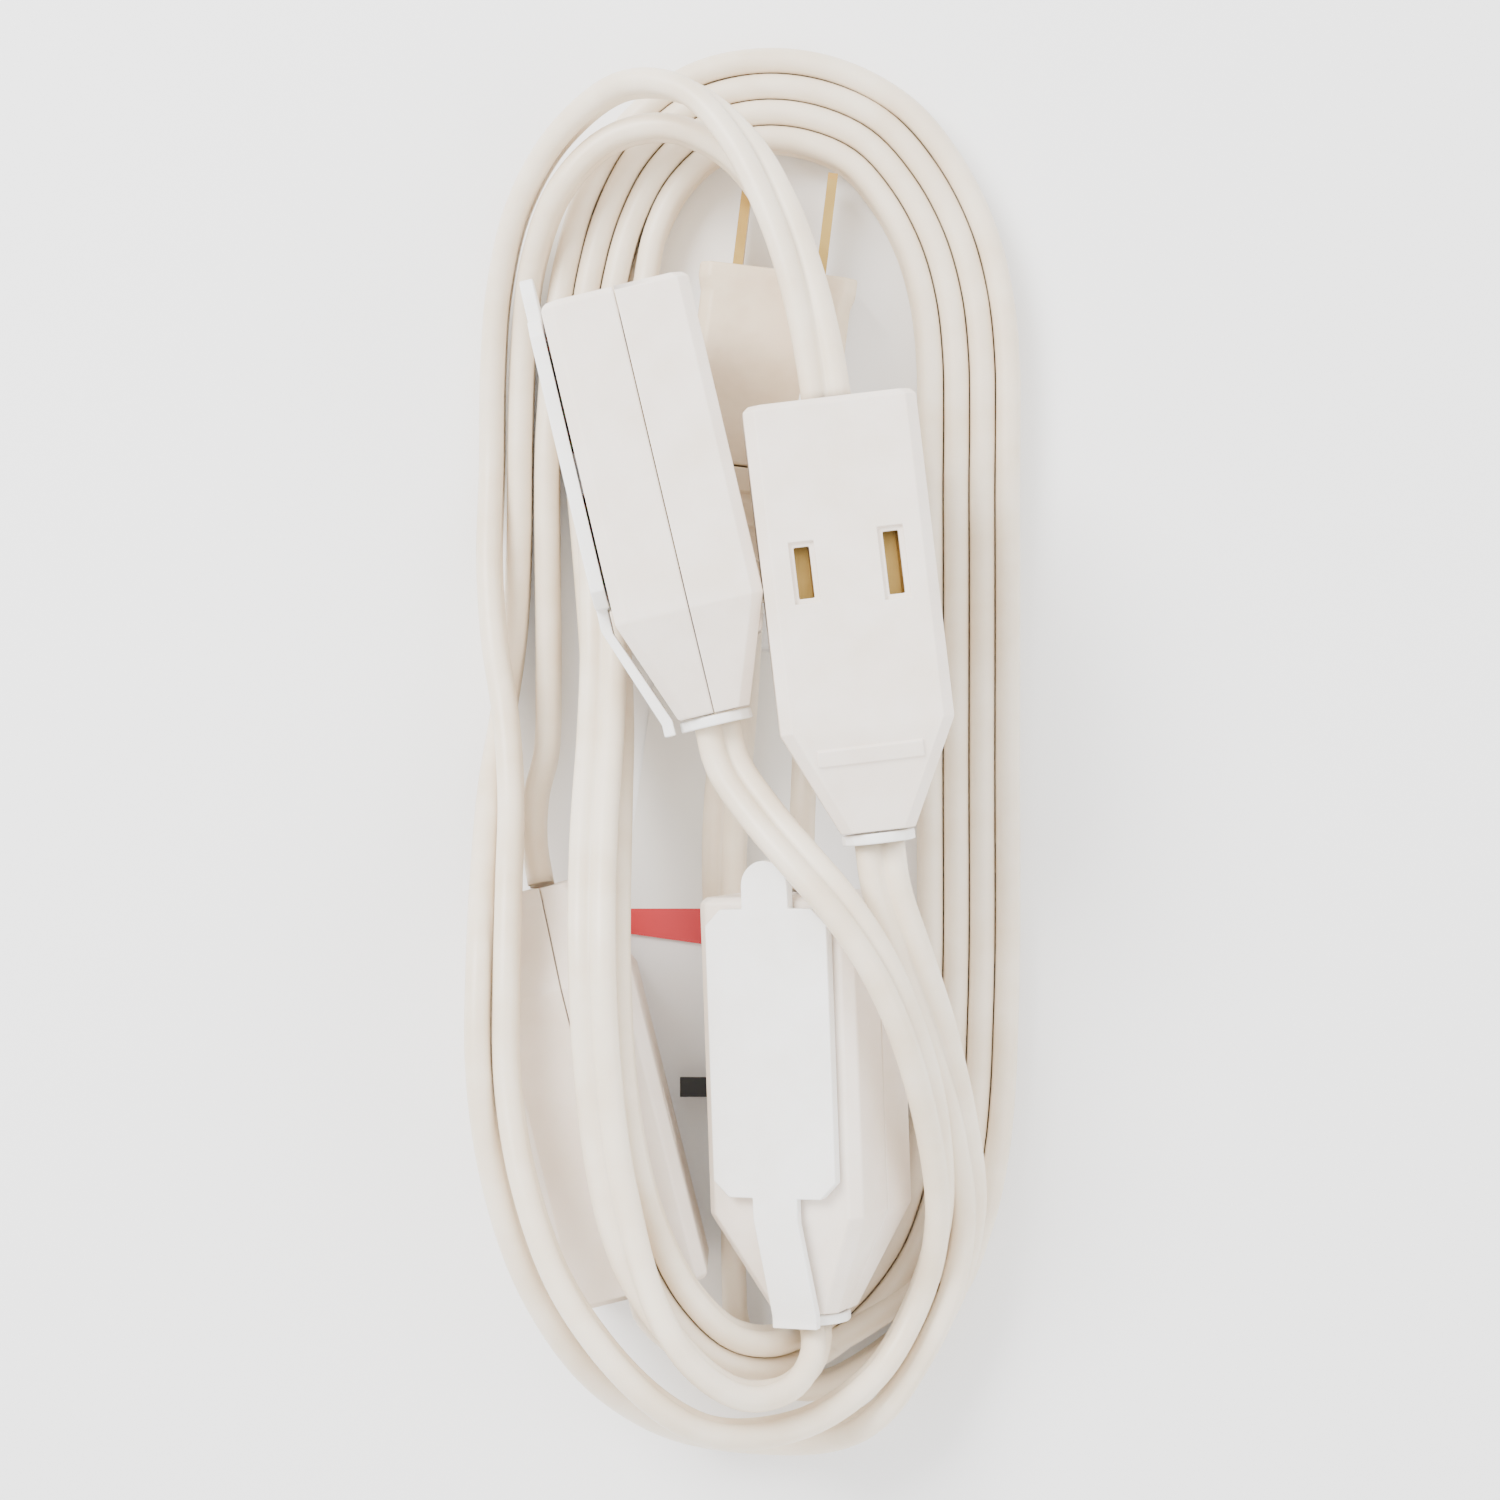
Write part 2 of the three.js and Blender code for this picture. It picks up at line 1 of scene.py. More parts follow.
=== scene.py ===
# %% [markdown]
# # A flat extension cord in a hank
# This lesson dresses the frame of an indoor extension cord: four cube taps on one flat
# two-core lead, wound into a long hank with its plug in the middle. The frame brings
# every hard part in its place, so Blender adds the cord itself, rounded mouldings and
# the finishes. Lengths are in metres, and helpers that take millimetres say so.

# %% Load the frame
import json
import math
import bmesh
import bpy
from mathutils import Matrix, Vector


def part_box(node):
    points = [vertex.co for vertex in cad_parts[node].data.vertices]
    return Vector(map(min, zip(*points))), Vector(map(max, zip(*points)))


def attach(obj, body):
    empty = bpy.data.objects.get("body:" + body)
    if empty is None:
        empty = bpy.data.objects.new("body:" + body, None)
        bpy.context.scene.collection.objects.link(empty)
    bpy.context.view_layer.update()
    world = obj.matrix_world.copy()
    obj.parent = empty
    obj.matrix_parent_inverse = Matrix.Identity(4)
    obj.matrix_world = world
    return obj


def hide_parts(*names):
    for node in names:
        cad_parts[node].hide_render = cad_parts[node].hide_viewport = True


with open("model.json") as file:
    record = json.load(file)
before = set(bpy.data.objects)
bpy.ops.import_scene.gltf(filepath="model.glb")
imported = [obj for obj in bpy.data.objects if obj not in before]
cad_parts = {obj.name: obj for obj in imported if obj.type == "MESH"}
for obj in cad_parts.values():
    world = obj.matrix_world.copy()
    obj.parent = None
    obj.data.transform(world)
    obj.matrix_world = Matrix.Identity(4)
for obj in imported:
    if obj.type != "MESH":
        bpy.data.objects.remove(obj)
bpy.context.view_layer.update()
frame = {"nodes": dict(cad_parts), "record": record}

MM = 0.001

# %% [markdown]
# ## The camera and the light
# A hank for sale is shown from straight above, so the camera looks down and is a long
# lens not far away: near pieces look a little larger than those on the floor. A hidden
# rig of big soft lamps stands in for a light tent, which gives white vinyl its gentle
# shading without hard shadows.

# %% Camera
LENS_HEIGHT = 492 * MM
VIEW_WIDTH = 231.6 * MM  # what the frame takes in at floor level

camera_data = bpy.data.cameras.new("camera")
camera_data.sensor_width = 36
camera_data.lens = camera_data.sensor_width * LENS_HEIGHT / VIEW_WIDTH
camera = bpy.data.objects.new("camera", camera_data)
camera.location = (0, 0, LENS_HEIGHT)
bpy.context.scene.collection.objects.link(camera)
bpy.context.scene.camera = camera
print("lens:", round(camera_data.lens, 1), "mm")

# %% [markdown]
# ## The cord's section
# The cord is extruded vinyl round two stranded cores that lie side by side, so its
# section is a figure eight: 7.2 mm wide and 3.8 mm thick, with a groove down each
# face where the cores can be torn apart. A curve with a round bevel can't show the
# groove, so each cord is a mesh swept along its route, one ring of points at a time.

# %% Section of the cord
CORD_WIDTH = 7.2 * MM
CORD_THICK = 3.8 * MM
GROOVE_DEPTH = 0.95 * MM
GROOVE_MOUTH = 0.8 * MM
CORE_STEPS = 11  # points round each core


def cord_section():
    """Points (across, thick) round the figure eight, in metres."""
    radius = CORD_THICK / 2
    centre = CORD_WIDTH / 2 - radius
    neck = math.acos((centre - GROOVE_MOUTH / 2) / radius)
    points = []
    for side in (1, -1):
        for step in range(CORE_STEPS):
            turn = -math.pi + neck + (2 * math.pi - 2 * neck) * step / (CORE_STEPS - 1)
            if side < 0:
                turn += math.pi
            points.append((side * centre + radius * math.cos(turn), radius * math.sin(turn)))
        points.append((0, side * (radius - GROOVE_DEPTH)))
    return points


SECTION = cord_section()
print("section points:", len(SECTION))

# %% [markdown]
# ## Routes
# A route is a list of chosen points in millimetres, joined by a centripetal
# Catmull-Rom curve, which passes through every point and doesn't overshoot in tight
# bends. A wound cord stands on its narrow edge, because that is the way it bends
# least, and it turns flat where a moulding grips it.


# %% Smooth curves through points
def smooth_route(points, step=1.6, closed=False):
    """The curve through points in mm, as Vectors about step mm apart."""
    knots = [Vector(p) for p in points]
    if closed:
        knots = [knots[-1]] + knots + knots[:2]
    else:
        knots = [2 * knots[0] - knots[1]] + knots + [2 * knots[-1] - knots[-2]]
    line = []
    for i in range(1, len(knots) - 2):
        a, b, c, d = knots[i - 1 : i + 3]
        t1 = max((b - a).length, 1e-6) ** 0.5
        t2 = t1 + max((c - b).length, 1e-6) ** 0.5
        t3 = t2 + max((d - c).length, 1e-6) ** 0.5
        count = max(1, round((c - b).length / step))
        for k in range(count):
            t = t1 + (t2 - t1) * k / count
            ab = a * (t1 - t) / t1 + b * t / t1
            bc = b * (t2 - t) / (t2 - t1) + c * (t - t1) / (t2 - t1)
            cd = c * (t3 - t) / (t3 - t2) + d * (t - t2) / (t3 - t2)
            abc = ab * (t2 - t) / t2 + bc * t / t2
            bcd = bc * (t3 - t) / (t3 - t1) + cd * (t - t1) / (t3 - t1)
            line.append(abc * (t2 - t) / (t2 - t1) + bcd * (t - t1) / (t2 - t1))
    if not closed:
        line.append(knots[-2])
    return line


def length_of(line):
    return sum((b - a).length for a, b in zip(line, line[1:]))


def ease(value):
    value = min(1, max(0, value))
    return value * value * (3 - 2 * value)


# %% [markdown]
# ## Sweeping the ribbon
# At each point of the route the section stands upright, turned by a roll that says
# how flat the ribbon lies there: 0 is on edge and 90 is flat. Rolls are given as
# pairs of (mm along the cord, degrees) and eased between them.


# %% Sweep
def roll_at(rolls, along):
    before = rolls[0]
    for after in rolls:
        if along <= after[0]:
            span = max(after[0] - before[0], 1e-6)
            return before[1] + (after[1] - before[1]) * ease((along - before[0]) / span)
        before = after
    return rolls[-1][1]


def sweep_ribbon(name, line, rolls):
    """A ribbon mesh along line (mm), and the centres of its rings in metres."""
    vertices = []
    centres = []
    along = 0
    ring = len(SECTION)
    for i, point in enumerate(line):
        ahead = line[min(i + 1, len(line) - 1)]
        behind = line[max(i - 1, 0)]
        if i:
            along += (point - line[i - 1]).length
        tangent = (ahead - behind).normalized()
        upright = (Vector((0, 0, 1)) - tangent * tangent.z).normalized()
        side = tangent.cross(upright)
        roll = math.radians(roll_at(rolls, along))
        wide = upright * math.cos(roll) + side * math.sin(roll)
        thin = side * math.cos(roll) - upright * math.sin(roll)
        centre = point * MM
        centres.append(tuple(centre))
        for across, thick in SECTION:
            vertices.append(centre + wide * across + thin * thick)
    faces = []
    for i in range(len(line) - 1):
        for k in range(ring):
            a = i * ring + k
            b = i * ring + (k + 1) % ring
            faces.append((a, b, b + ring, a + ring))
    faces.append(tuple(range(ring))[::-1])
    faces.append(tuple((len(line) - 1) * ring + k for k in range(ring)))
    mesh = bpy.data.meshes.new(name)
    mesh.from_pydata([tuple(v) for v in vertices], [], faces)
    tidy = bmesh.new()
    tidy.from_mesh(mesh)
    bmesh.ops.recalc_face_normals(tidy, faces=tidy.faces)
    tidy.to_mesh(mesh)
    tidy.free()
    mesh.polygons.foreach_set("use_smooth", [len(p.vertices) == 4 for p in mesh.polygons])
    piece = bpy.data.objects.new(name, mesh)
    bpy.context.scene.collection.objects.link(piece)
    return piece, centres


# %% [markdown]
# ## The free stretches
# These are the same chosen points that the frame's plain tubes follow.

# %% Chosen routes
TAP_A_TO_B = [
    (-4.9, 4.7, 32.4), (-3.2, -2, 33), (1.5, -9, 35.5), (7, -15.5, 38.6), (12.6, -22, 40.2),
    (18.5, -31, 39.4), (23.5, -43, 34.6), (27, -57, 26.5), (28, -70, 19), (25.5, -81.5, 15),
    (19.5, -92, 17), (10.5, -98, 22.4), (2, -99.6, 27), (-6, -98, 33.4), (-13, -93.4, 37.4),
    (-20.5, -85.8, 38.2), (-27.4, -75.5, 37.4), (-32.4, -62, 35), (-35, -48, 31.5),
    (-35.3, -34, 29.6), (-35.3, -20, 25.5), (-35.5, -7, 18.5), (-36.6, 5, 14.4),
    (-38.4, 16, 12.4), (-39.4, 28, 9.6), (-39.4, 43, 5), (-39.2, 58, 5), (-38.2, 70, 6),
    (-35, 82, 9.5), (-28.5, 92, 14.5), (-19, 98.2, 20), (-9.5, 96.6, 25.2), (-1.5, 88.5, 29.5),
    (4, 78, 32.3), (7.8, 66.5, 33.9), (10, 56.5, 34.3), (10.98, 50.2, 34.3),
]
TAP_B_TO_C = [
    (18.6, -13.3, 34.3), (19.6, -20, 34.3), (23, -30, 32.2), (27.5, -43, 26.2),
    (31.2, -57, 19.5), (32.8, -70, 13.8), (30.3, -82, 12.4), (24.5, -92.8, 12.8),
    (19.4, -99.2, 14.8), (12.4, -103.9, 9.4), (3, -105.3, 5.6), (-8.5, -103.2, 8.5),
    (-18, -97.2, 17), (-26, -88, 25.5), (-32.8, -75.5, 29.5), (-37.2, -61, 30.6),
    (-39.2, -46, 30.6), (-39.4, -31, 27.5), (-39.4, -17, 19), (-39, -5, 10.5), (-37.6, 6, 5),
    (-36, 18, 4), (-35.3, 32, 4), (-35.1, 48, 4), (-34.6, 62, 4.2), (-32.9, 74, 7.4),
    (-28.4, 84.5, 12.2), (-21, 91.4, 14.2), (-12, 92.8, 16.4), (-3, 88.5, 17.2), (4, 79, 16.6),
    (8.6, 66, 15.4), (10.2, 50, 15.2), (9.8, 30, 15.2), (8.6, 8, 15.6), (7.8, -10, 17.8),
    (7.53, -20.9, 19),
]
TAP_C_LEAD = [
    (9.74, -84.9, 19), (9.8, -86.6, 19.4), (9, -89.8, 22.8), (5.6, -92.8, 27.6),
    (0, -93.2, 32.2), (-5.2, -90.4, 35.6), (-10.5, -84.6, 38.2), (-15.8, -75.5, 37.8),
    (-19.6, -62, 38), (-21.8, -45, 38), (-22.6, -28, 37.2), (-22.6, -12, 31), (-22, 2, 24),
    (-21.8, 14, 18.4), (-22.2, 28, 14.2), (-23, 44, 12.1), (-23.6, 58, 11.9),
]
TAP_D_LEAD = [
    (-31.42, -20.3, 12.3), (-32.5, -14, 11.2), (-32.4, -7, 8.4), (-31, 0, 5.6),
]
PLUG_LEAD = [
    (-2.4, -82, 4.9), (-2.6, -66, 4.9), (-3, -48, 4.9), (-3.8, -30, 4.9), (-3.8, -12, 4.9),
    (-2.4, 6, 5.2), (-1.5, 22.2, 5.7),
]
HANK_LINE = [
    (33.4, 0, 4), (33.4, 40, 4), (33.2, 62, 4), (31, 75, 4), (26, 86, 4), (18.5, 94.6, 4),
    (10, 98.4, 4), (1, 99.2, 4), (-8, 96.6, 4), (-16.8, 88, 4), (-22.3, 73, 4), (-24.8, 50, 4),
    (-25.2, 28, 5.6), (-25.2, 8, 12), (-25.2, -10, 21.5), (-25.2, -27, 28.4),
    (-24.4, -46, 29.4), (-21.8, -63, 29.4), (-17.2, -76, 29.6), (-12, -84.4, 29.2),
    (-5, -91, 24.5), (3.5, -93.8, 16.5), (12, -92.4, 8.8), (20.5, -86.4, 4.4),
    (27.4, -76.5, 4), (31.6, -62, 4), (33.2, -40, 4), (33.4, -0.6, 4),
]

# %% [markdown]
# ## The wound turns
# Inside the hank the cord runs in nested slots, a strand's thickness apart. The
# middle line of the hank is one closed curve, and a strand in a slot is that line
# moved sideways. The third tap's cord makes two whole turns and most of a third from
# the inside out, and changes slots on the left, where one slot is free.

# %% Turns of the hank
STRAND_PITCH = 3.95
SLOTS = 4
hank_middle = smooth_route(HANK_LINE[::-1][:-1], step=2, closed=True)
START_Y = 60
start = min(
    (i for i, p in enumerate(hank_middle) if p.x < 0 and p.y > 20),
    key=lambda i: abs(hank_middle[i].y - START_Y),
)
hank_middle = hank_middle[start:] + hank_middle[:start]
PER_TURN = len(hank_middle)


def hank_point(index, slot):
    """The place in the hank at a step round it, in a slot counted from the inside."""
    here = hank_middle[index % PER_TURN]
    ahead = hank_middle[(index + 1) % PER_TURN]
    behind = hank_middle[(index - 1) % PER_TURN]
    along = Vector((ahead.x - behind.x, ahead.y - behind.y, 0)).normalized()
    outward = Vector((-along.y, along.x, 0))
    return here + outward * (slot - (SLOTS - 1) / 2) * STRAND_PITCH


def index_where(test):
    return next(i for i in range(PER_TURN) if test(hank_middle[i]))


CROSS_START = index_where(lambda p: p.x < -20 and 0 < p.y < 30) - PER_TURN
SLOT_CHANGE = -CROSS_START  # steps that a change of slot takes


def turns(first, last, slot_at):
    return [hank_point(i, slot_at(i)) for i in range(first, last)]


def coiling_slot(index):
    """Slot 0 in the first turn, and one more after each pass up the left side."""
    turn, step = divmod(index - CROSS_START, PER_TURN)
    return turn - 1 + ease(step / SLOT_CHANGE)


print("turn:", round(length_of(hank_middle)), "mm in", PER_TURN, "steps")

# %% [markdown]
# ## The four lengths of cord
# From the last tap back to the plug: tap A to tap B, tap B to tap C, tap C through
# the hank to tap D, and tap D once round the hank to the plug.

# %% Join leads and turns
KNOT_EVERY = 5  # steps of a turn between two points of a cord's route
INNER_START = 6  # step at which the third tap's cord drops into the hank
OUTER_START = -8  # step at which the last tap's cord joins it
LEAVE_HANK = index_where(lambda p: p.x > 0 and p.y < -82)
PLUG_LEAVES = index_where(lambda p: p.x < 20 and p.y < -84)

c_turns = turns(INNER_START, 2 * PER_TURN + LEAVE_HANK, coiling_slot)
INTO_TAP_D = [
    (17, -87.4, 6.4), (10, -90.3, 9.6), (2.5, -91.8, 12.6), (-5.5, -91.4, 13.2),
    (-12.2, -88.2, 12.8), (-15.8, -84.4, 12.3), (-16.5, -81.3, 12.3),
]
c_to_d = smooth_route([tuple(p) for p in TAP_C_LEAD[:-1]] + c_turns[::KNOT_EVERY] + INTO_TAP_D)

OUTER_SLOT = SLOTS - 1
d_turn = turns(OUTER_START, PLUG_LEAVES, lambda i: OUTER_SLOT)
UNDER_THE_HANK = [(12.6, -96.8, 4), (5.6, -97, 4), (0.4, -93.4, 4), (-2, -87.6, 4.6)]
d_join = [(-30.8, 12, 4.6)]
d_to_plug = smooth_route(TAP_D_LEAD + d_join + d_turn[::KNOT_EVERY] + UNDER_THE_HANK + PLUG_LEAD)
a_to_b = smooth_route(TAP_A_TO_B)
b_to_c = smooth_route(TAP_B_TO_C)

FLAT = 90
a_length, b_length = length_of(a_to_b), length_of(b_to_c)
c_length, d_length = length_of(c_to_d), length_of(d_to_plug)
cord_ab, path_ab = sweep_ribbon(
    "cord_tap_a_to_tap_b",
    a_to_b,
    [
        (0, 60),
        (25, 55),
        (60, 35),
        (105, 0),
        (a_length - 62, 0),
        (a_length - 26, 62),
        (a_length, FLAT),
    ],
)
cord_bc, path_bc = sweep_ribbon(
    "cord_tap_b_to_tap_c",
    b_to_c,
    [(0, FLAT), (14, FLAT), (50, 40), (90, 0), (b_length - 90, 0), (b_length, 0)],
)
cord_cd, path_cd = sweep_ribbon(
    "cord_tap_c_to_tap_d",
    c_to_d,
    [(0, 20), (20, 0), (32, 0), (58, 68), (150, 76), (176, 70), (214, 0), (c_length, 0)],
)
cord_dp, path_dp = sweep_ribbon(
    "cord_tap_d_to_plug",
    d_to_plug,
    [(0, 0), (d_length - 90, 0), (d_length - 30, 70), (d_length, FLAT)],
)
for name, size in (("A-B", a_length), ("B-C", b_length), ("C-D", c_length), ("D-plug", d_length)):
    print("cord", name, round(size), "mm")

# %% [markdown]
# ## Moulded edges
# The frame's shells are cut square. A moulding never has a sharp edge: the steel is
# rounded so that the part lets go of it. Copying each shell, merging its flat faces
# and bevelling what is left keeps the size and gives the thin bright line that light
# draws along a real edge. Edges where two shells meet stay sharp, so that the parting
# line stays thin.


# %% Rounded copies
def middle_of(node):
    corners = [v.co for v in frame["nodes"][node].data.vertices]
    return sum(corners, Vector()) / len(corners)


EDGE_SEGMENTS = 3
SHARP_EDGE = math.radians(22)  # a fold over this is an edge
PARTING_REACH = 0.5 * MM  # edges this near to the parting plane stay sharp


def rounded(node, name, radius, mate=None):
    """A CAD node's copy, sharp edges rounded to radius, save where it meets its mate."""
    mesh = frame["nodes"][node].data.copy()
    mesh.materials.clear()
    work = bmesh.new()
    work.from_mesh(mesh)
    bmesh.ops.remove_doubles(work, verts=work.verts, dist=1e-6)
    bmesh.ops.dissolve_limit(
        work, angle_limit=math.radians(1), verts=work.verts, edges=work.edges
    )
    away = (middle_of(node) - middle_of(mate)).normalized() if mate else Vector()
    parting = min(v.co.dot(away) for v in work.verts)
    weight = work.edges.layers.float.new("bevel_weight_edge")
    for edge in work.edges:
        at_parting = mate and all(v.co.dot(away) - parting < PARTING_REACH for v in edge.verts)
        if edge.calc_face_angle(0) > SHARP_EDGE and not at_parting:
            edge[weight] = 1
    work.to_mesh(mesh)
    work.free()
    piece = bpy.data.objects.new(name, mesh)
    bpy.context.scene.collection.objects.link(piece)
    bevel = piece.modifiers.new("moulded edge", "BEVEL")
    bevel.width = radius
    bevel.segments = EDGE_SEGMENTS
    bevel.limit_method = "WEIGHT"
    bevel.harden_normals = False
    mesh.polygons.foreach_set("use_smooth", [True] * len(mesh.polygons))
    weighted = piece.modifiers.new("flat faces stay flat", "WEIGHTED_NORMAL")
    weighted.keep_sharp = False
    return piece


body_of = {
    node: body
    for body, nodes in frame["record"]["behaviour"]["bodies"].items()
    for node in nodes
}
slot_of = {part["node"]: part["material_slot"] for part in frame["record"]["subparts"]}

EDGE_RADIUS = {
    "front_shell": 0.7 * MM,
    "back_shell": 0.7 * MM,
    "cover": 0.35 * MM,
    "eyelet": 0.3 * MM,
    "plug_body": 0.5 * MM,
    "plug_strain_relief": 0.3 * MM,
}
pieces = {}
for node in sorted(frame["nodes"]):
    radius = next((r for end, r in EDGE_RADIUS.items() if node.endswith(end)), None)
    if radius:
        other = {"front_shell": "back_shell", "back_shell": "front_shell"}.get(node[6:])
        mate = node[:6] + other if other else None
        pieces[node] = rounded(node, node + "_moulding", radius, mate=mate)
print("rounded pieces:", len(pieces))

# %% [markdown]
# ## Materials
# One function turns sRGB hex into the linear colour that shaders use, and one adds a
# node with its settings and links.


# %% Helpers for materials
def linear(hex_colour):
    values = [int(hex_colour[i : i + 2], 16) / 255 for i in (1, 3, 5)]
    return [v / 12.92 if v <= 0.04045 else ((v + 0.055) / 1.055) ** 2.4 for v in values] + [1]


def add_node(tree, kind, settings=None, links=None):
    """A shader node with sockets and properties set, and inputs linked."""
    node = tree.nodes.new(kind)
    for key, value in (settings or {}).items():
        if key in node.inputs:
            node.inputs[key].default_value = value
        else:
            setattr(node, key, value)
    for key, socket in (links or {}).items():
        tree.links.new(socket, node.inputs[key])
    return node


def new_material(name):
    material = bpy.data.materials.new(name)
    material.use_nodes = True
    material.node_tree.nodes.clear()
    return material, material.node_tree


# %% [markdown]
# ### Moulded and extruded plastics
# ABS and soft vinyl are both filled with white and a little yellow. What tells them
# apart is the surface: ABS copies the fine spark-eroded texture of its steel mould,
# and extruded vinyl is smoother, with faint lengthwise drag and a waxy sheen. Light
# goes a little way into both, so a small subsurface share keeps shadows warm.


# %% Plastics
def plastic(name, light, dark, roughness, grain_mm, grain_depth_mm, mottle_mm, coat=0.0):
    """A filled plastic with mottled colour and a fine moulded grain."""
    material, tree = new_material(name)
    place = add_node(tree, "ShaderNodeTexCoord").outputs["Object"]
    mottle = add_node(
        tree,
        "ShaderNodeTexNoise",
        {"Scale": 1000 / mottle_mm, "Detail": 3, "Roughness": 0.55},
        {"Vector": place},
    )
    colour = add_node(tree, "ShaderNodeMix", {"data_type": "RGBA"})
    colour.inputs[6].default_value = linear(dark)
    colour.inputs[7].default_value = linear(light)
    spread = add_node(
        tree,
        "ShaderNodeMapRange",
        {"From Min": 0.3, "From Max": 0.62, "To Min": 0, "To Max": 1},
        {"Value": mottle.outputs["Fac"]},
    )
    tree.links.new(spread.outputs["Result"], colour.inputs[0])
    grain = add_node(
        tree,
        "ShaderNodeTexNoise",
        {"Scale": 1000 / grain_mm, "Detail": 2, "Roughness": 0.6},
        {"Vector": place},
    )
    bump = add_node(
        tree,
        "ShaderNodeBump",
        {"Strength": 0.35, "Distance": grain_depth_mm * MM},
        {"Height": grain.outputs["Fac"]},
    )
    rough = add_node(
        tree,
        "ShaderNodeMapRange",
        {"To Min": roughness - 0.05, "To Max": roughness + 0.07},
        {"Value": mottle.outputs["Fac"]},
    )
    surface = add_node(
        tree,
        "ShaderNodeBsdfPrincipled",
        {
            "IOR": 1.5,
            "Subsurface Weight": 0.12,
            "Subsurface Scale": 1.2 * MM,
            "Coat Weight": coat,
            "Coat Roughness": 0.25,
        },
        {
            "Base Color": colour.outputs[2],
            "Roughness": rough.outputs["Result"],
            "Normal": bump.outputs["Normal"],
        },
    )
    surface.inputs["Subsurface Radius"].default_value = (1.0, 0.75, 0.5)
    add_node(tree, "ShaderNodeOutputMaterial", links={"Surface": surface.outputs["BSDF"]})
    return material


abs_cream = plastic("moulded cream ABS", "#F3E8DD", "#ECDFD1", 0.5, 0.22, 0.02, 9)
# The plug's vinyl is a darker, more beige cream than the cord's: painted shade for the deep place
# where the plug lies under the hank.
plug_vinyl_painted_shade = plastic("moulded cream vinyl", "#E6D4BB", "#DAC6A9", 0.5, 0.3, 0.03, 7)
polyethylene = plastic("moulded white polyethylene", "#F8F7F5", "#F2F0EC", 0.46, 0.35, 0.03, 8)
vinyl_cord = plastic("extruded cream vinyl", "#EFE2CE", "#E4D3BA", 0.4, 0.5, 0.02, 12, coat=0.12)
vinyl_black = plastic("black vinyl tie", "#242322", "#161514", 0.5, 0.2, 0.02, 5)

# %% [markdown]
# ### Brass strip
# The blades and contacts are stamped from rolled brass, so fine rolling lines run one
# way, and handling dulls it in patches.


# %% Brass
def rolled_brass():
    material, tree = new_material("rolled brass strip")
    place = add_node(tree, "ShaderNodeTexCoord").outputs["Object"]
    stretch = add_node(
        tree, "ShaderNodeMapping", {"Scale": (9000, 250, 9000)}, {"Vector": place}
    )
    lines = add_node(
        tree, "ShaderNodeTexNoise", {"Scale": 1, "Detail": 2}, {"Vector": stretch.outputs["Vector"]}
    )
    patches = add_node(tree, "ShaderNodeTexNoise", {"Scale": 160, "Detail": 3}, {"Vector": place})
    tone = add_node(tree, "ShaderNodeMix", {"data_type": "RGBA"})
    tone.inputs[6].default_value = linear("#B08D4C")
    tone.inputs[7].default_value = linear("#D8B871")
    tree.links.new(patches.outputs["Fac"], tone.inputs[0])
    rough = add_node(
        tree,
        "ShaderNodeMapRange",
        {"To Min": 0.22, "To Max": 0.42},
        {"Value": lines.outputs["Fac"]},
    )
    bump = add_node(
        tree,
        "ShaderNodeBump",
        {"Strength": 0.2, "Distance": 0.01 * MM},
        {"Height": lines.outputs["Fac"]},
    )
    surface = add_node(
        tree,
        "ShaderNodeBsdfPrincipled",
        {"Metallic": 1.0},
        {
            "Base Color": tone.outputs[2],
            "Roughness": rough.outputs["Result"],
            "Normal": bump.outputs["Normal"],
        },
    )
    add_node(tree, "ShaderNodeOutputMaterial", links={"Surface": surface.outputs["BSDF"]})
    return material


brass = rolled_brass()

# %% [markdown]
# ### Label film
# The label is a white printed film. Its print is left out, and only the plain red
# band along its edge stays, as a flat block of ink under the coating.


# %% Label
RED_BAND = 7 * MM  # how far the band reaches up from the label's lower edge


def label_film():
    material, tree = new_material("coated label film")
    place = add_node(tree, "ShaderNodeTexCoord").outputs["Object"]
    apart = add_node(tree, "ShaderNodeSeparateXYZ", links={"Vector": place})
    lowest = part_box("paper_label")[0].y
    band = add_node(
        tree,
        "ShaderNodeMath",
        {"operation": "LESS_THAN"},
        {0: apart.outputs["Y"]},
    )
    band.inputs[1].default_value = lowest + RED_BAND
    fibres = add_node(tree, "ShaderNodeTexNoise", {"Scale": 1400, "Detail": 4}, {"Vector": place})
    ink = add_node(tree, "ShaderNodeMix", {"data_type": "RGBA"})
    ink.inputs[6].default_value = linear("#F1F0EC")
    ink.inputs[7].default_value = linear("#C8202C")
    tree.links.new(band.outputs["Value"], ink.inputs[0])
    bump = add_node(
        tree,
        "ShaderNodeBump",
        {"Strength": 0.15, "Distance": 0.02 * MM},
        {"Height": fibres.outputs["Fac"]},
    )
    surface = add_node(
        tree,
        "ShaderNodeBsdfPrincipled",
        {"Roughness": 0.42, "Coat Weight": 0.2, "Coat Roughness": 0.2},
        {"Base Color": ink.outputs[2], "Normal": bump.outputs["Normal"]},
    )
    add_node(tree, "ShaderNodeOutputMaterial", links={"Surface": surface.outputs["BSDF"]})
    return material


FINISH = {
    "tap_shell": abs_cream,
    "plug_vinyl": plug_vinyl_painted_shade,
    "cover_plastic": polyethylene,
    "cord_vinyl": vinyl_cord,
    "contact_brass": brass,
    "tie_vinyl": vinyl_black,
    "label_paper": label_film(),
}
print("finishes:", ", ".join(m.name for m in FINISH.values()))

# %% [markdown]
# ## Dress the frame
# Pieces that keep the frame's shape only change their material. Rounded copies ride
# on the same body as the shell they stand for.

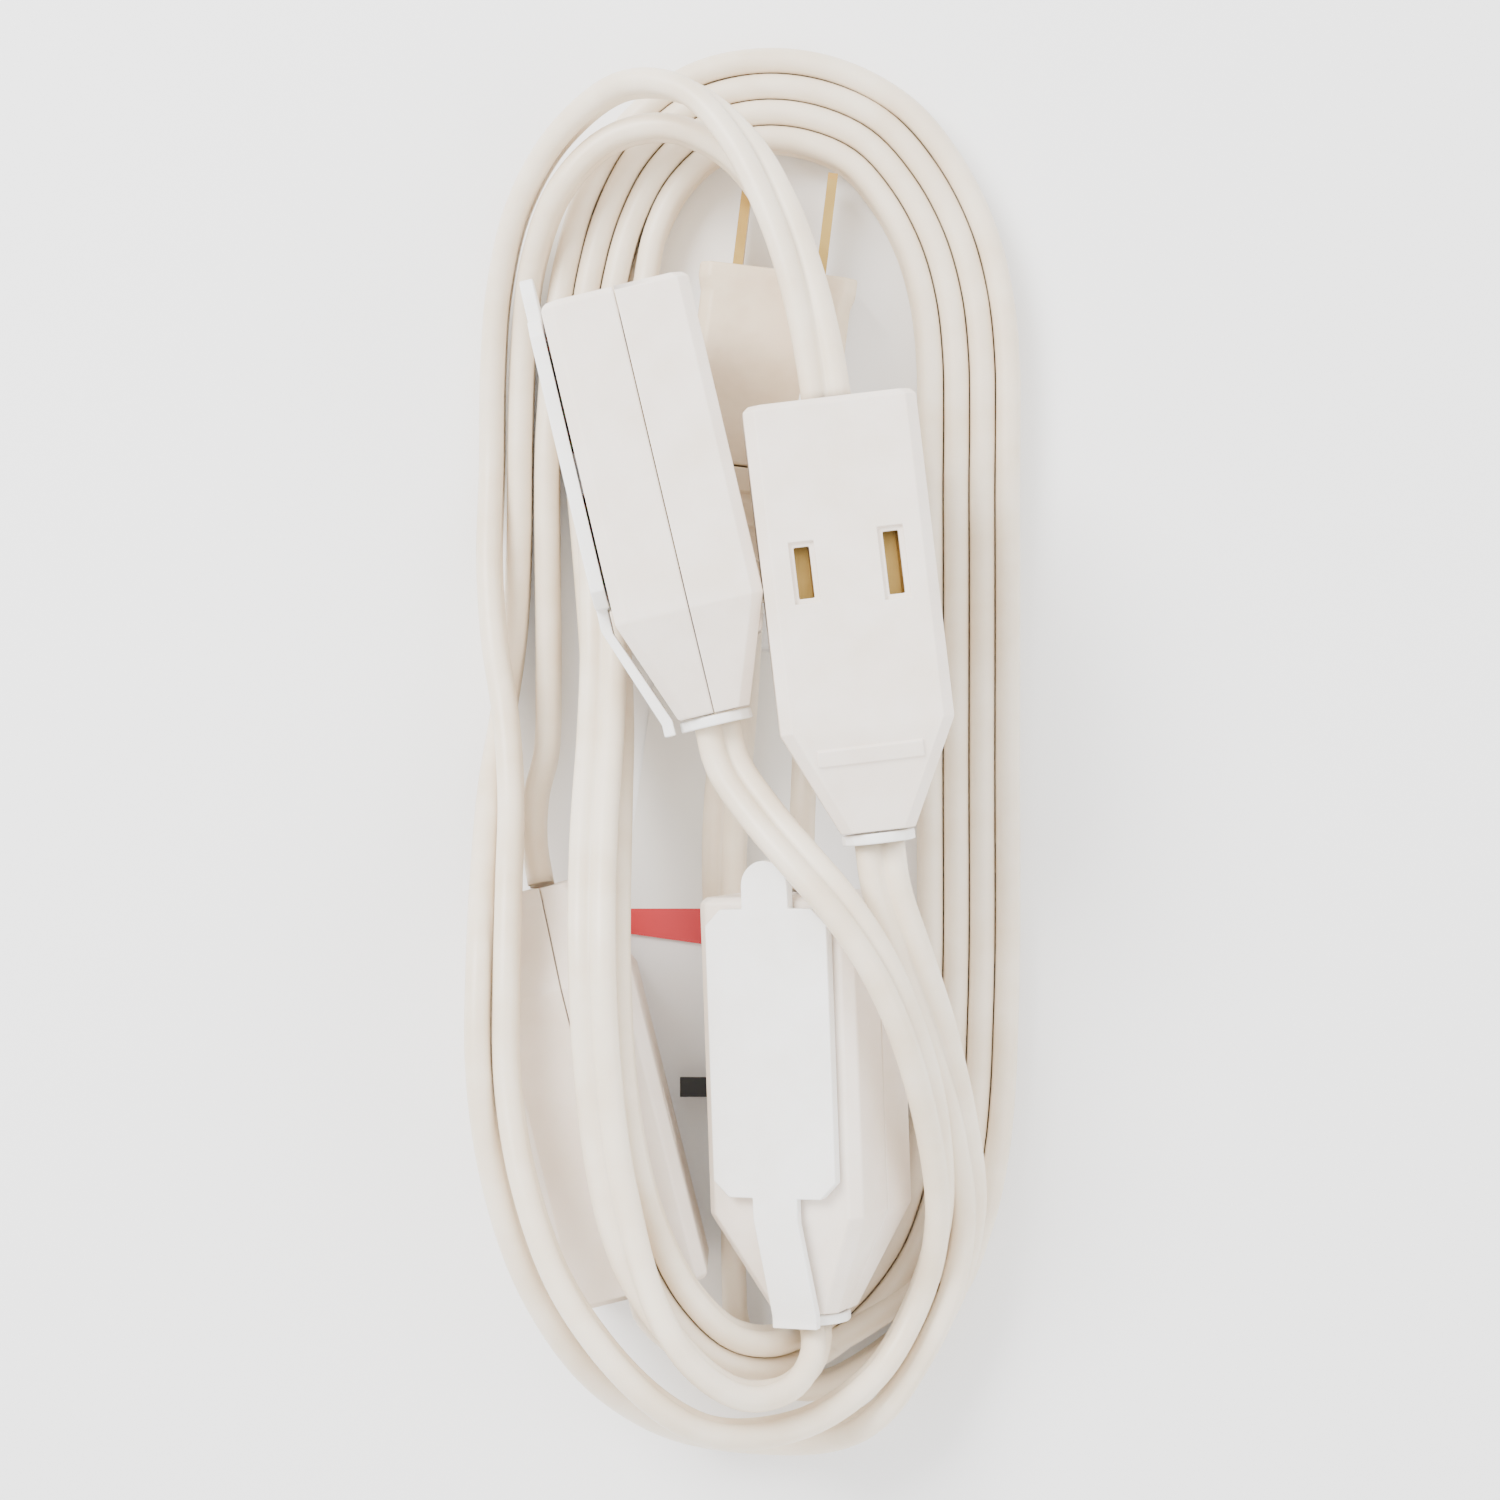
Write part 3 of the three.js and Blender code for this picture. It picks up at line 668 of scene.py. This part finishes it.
# %% Assign
for node, piece in frame["nodes"].items():
    piece.data.materials.clear()
    piece.data.materials.append(FINISH[slot_of[node]])
for node, piece in pieces.items():
    piece.data.materials.append(FINISH[slot_of[node]])
    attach(piece, body_of[node])
    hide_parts(node)

CORDS = [
    (cord_ab, path_ab, a_length, ["cord_a_to_b"]),
    (cord_bc, path_bc, b_length, ["cord_b_to_c"]),
    (cord_cd, path_cd, c_length, ["cord_c_lead", "hank_band"]),
    (cord_dp, path_dp, d_length, ["cord_d_lead", "cord_plug_lead"]),
]
for cord, path, size, stands_for in CORDS:
    cord.data.materials.append(vinyl_cord)
    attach(cord, "root")
    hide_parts(*stands_for)

# %% [markdown]
# ## Floor and lamps
# A matt white floor and two broad lamps, one above the upper left and a weaker one
# opposite, with a white world that fills the rest.

# %% Stage
bpy.ops.mesh.primitive_plane_add(size=6, location=(0, 0, -0.0002))
floor = bpy.context.object
floor.name = "floor"
floor_material, floor_tree = new_material("matt white board")
board = add_node(
    floor_tree, "ShaderNodeBsdfPrincipled", {"Base Color": linear("#FAFAFA"), "Roughness": 0.9}
)
add_node(floor_tree, "ShaderNodeOutputMaterial", links={"Surface": board.outputs["BSDF"]})
floor.data.materials.append(floor_material)


def soft_lamp(name, place, size, power):
    lamp_data = bpy.data.lights.new(name, "AREA")
    lamp_data.size = size
    lamp_data.energy = power
    lamp = bpy.data.objects.new(name, lamp_data)
    lamp.location = place
    lamp.rotation_euler = (-Vector(place)).to_track_quat("-Z", "Y").to_euler()
    bpy.context.scene.collection.objects.link(lamp)


KEY_POWER = 20
FILL_POWER = 4
TENT_STRENGTH = 2.1
soft_lamp("key", (-0.55, 0.5, 0.8), 0.5, KEY_POWER)
soft_lamp("fill", (0.7, -0.3, 0.7), 0.7, FILL_POWER)
world = bpy.data.worlds.new("light tent")
world.use_nodes = True
world.node_tree.nodes["Background"].inputs["Color"].default_value = (1, 1, 1, 1)
world.node_tree.nodes["Background"].inputs["Strength"].default_value = TENT_STRENGTH
bpy.context.scene.world = world

# %% Update the scene
bpy.context.view_layer.update()
